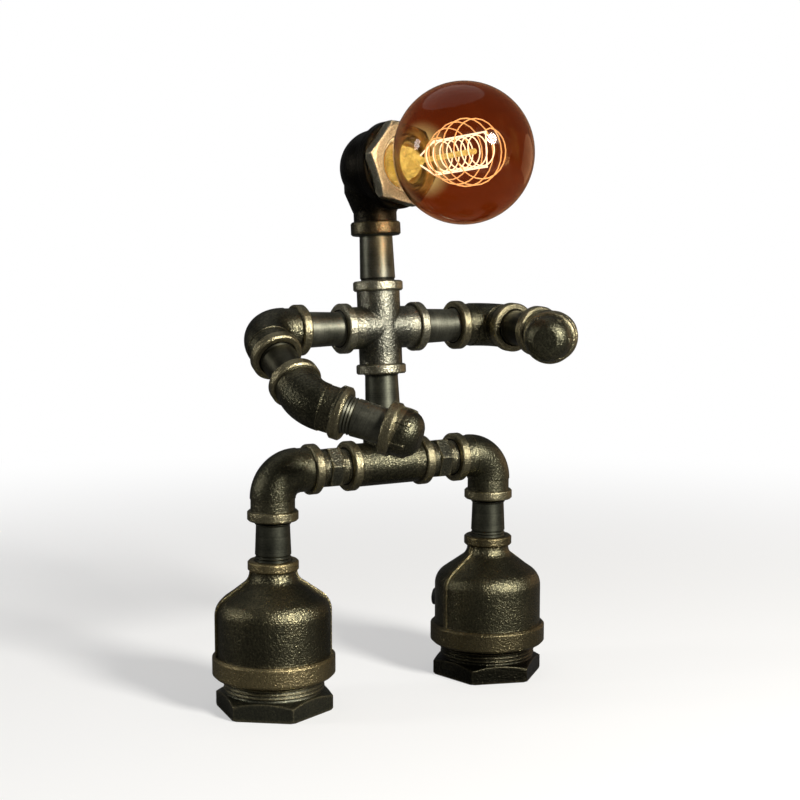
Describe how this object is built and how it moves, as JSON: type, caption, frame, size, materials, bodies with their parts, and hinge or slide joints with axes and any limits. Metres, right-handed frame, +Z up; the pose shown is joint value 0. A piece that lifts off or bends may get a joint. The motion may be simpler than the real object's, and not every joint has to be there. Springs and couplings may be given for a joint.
{
  "type": "robot shaped desk lamp",
  "caption": "Standing figure made of dark iron pipe fittings, with turning arms and an amber globe bulb on a threaded neck for a head",
  "frame": {"origin": "on the table under the middle of the lamp's box", "axes": "+Z up, +X to the viewer's right when the figure is seen from the front, -Y is where the figure and its bulb look"},
  "size_m": [0.2234, 0.1404, 0.363],
  "materials": {
    "fitting_iron": "malleable iron darkened almost black, rubbed back to old brass on beads, ribs and seams",
    "pipe_steel": "dark grey green drawn pipe with bright thread ridges",
    "dark_iron": "the same iron left nearly black",
    "bushing_iron": "iron brushed with old brass, speckled",
    "porcelain": "glazed white ceramic",
    "thin_brass": "bright pressed sheet",
    "bright_metal": "bright plain metal",
    "filament": "drawn wire that glows when lit",
    "amber_glass": "clear glass coated a deep reddish amber",
    "clear_glass": "clear glass",
    "black_glass": "opaque black glass",
    "black_rubber": "plain soft rubber",
    "lead_sheath": "plain flexible sheath"
  },
  "bodies": {
    "legs": {"foot_plug_left": "fitting_iron", "foot_plug_right": "fitting_iron", "foot_bell_left": "fitting_iron", "foot_bell_right": "fitting_iron", "leg_pipe_left": "pipe_steel", "leg_pipe_right": "pipe_steel", "hip_elbow_left": "fitting_iron", "hip_elbow_right": "fitting_iron", "hip_nipple_left": "pipe_steel", "hip_nipple_right": "pipe_steel", "cord_grommet": "black_rubber", "flex_leg": "lead_sheath"},
    "trunk": {"pelvis_tee": "fitting_iron", "torso_pipe": "pipe_steel", "chest_cross": "fitting_iron", "neck_pipe": "pipe_steel", "shoulder_pipe_left": "pipe_steel", "shoulder_pipe_right": "pipe_steel", "flex_trunk": "lead_sheath"},
    "head": {"head_elbow": "dark_iron", "head_bushing": "bushing_iron", "holder_body": "porcelain", "holder_cap": "porcelain", "holder_screw_shell": "thin_brass", "holder_contact": "thin_brass", "holder_screws": "bright_metal", "flex_head": "lead_sheath"},
    "bulb": {"bulb_glass": "amber_glass", "bulb_screw_cap": "thin_brass", "bulb_insulator": "black_glass", "bulb_contact": "bright_metal", "bulb_stem": "clear_glass", "bulb_support_wires": "bright_metal", "bulb_filament_inner": "filament", "bulb_filament_outer": "filament"},
    "arm_left": {"shoulder_elbow_left": "fitting_iron", "upper_arm_pipe_left": "pipe_steel"},
    "forearm_left": {"forearm_elbow_left": "fitting_iron", "forearm_pipe_left": "pipe_steel", "hand_cap_left": "fitting_iron"},
    "arm_right": {"shoulder_elbow_right": "fitting_iron", "upper_arm_pipe_right": "pipe_steel"},
    "forearm_right": {"forearm_elbow_right": "fitting_iron", "forearm_pipe_right": "pipe_steel", "hand_cap_right": "fitting_iron"}
  },
  "joints": [
    {"name": "waist", "type": "hinge", "parent": "legs", "child": "trunk", "pos_m": [0, 0.03521, 0.14], "axis": [1, 0, 0], "range_deg": [-8, 12]},
    {"name": "head_swivel", "type": "hinge", "parent": "trunk", "child": "head", "pos_m": [0, 0.04913, 0.31695], "axis": [0, 0.0785, 0.9969], "range_deg": [-90, 90]},
    {"name": "shoulder_left", "type": "hinge", "parent": "trunk", "child": "arm_left", "pos_m": [-0.08, 0.04164, 0.22175], "axis": [1, 0, 0], "range_deg": [-45, 25]},
    {"name": "shoulder_right", "type": "hinge", "parent": "trunk", "child": "arm_right", "pos_m": [0.08, 0.04164, 0.22175], "axis": [1, 0, 0], "range_deg": [-20, 45]},
    {"name": "elbow_left", "type": "hinge", "parent": "arm_left", "child": "forearm_left", "pos_m": [-0.08, -0.01985, 0.18625], "axis": [0, -0.866, -0.5], "range_deg": [-60, 60]},
    {"name": "elbow_right", "type": "hinge", "parent": "arm_right", "child": "forearm_right", "pos_m": [0.08, -0.02932, 0.21927], "axis": [0, -0.9994, -0.0349], "range_deg": [-60, 60]},
    {"name": "bulb_out", "type": "slide", "parent": "head", "child": "bulb", "axis": [0.1822, -0.9802, 0.0771], "range_m": [0, 0.03]}
  ]
}
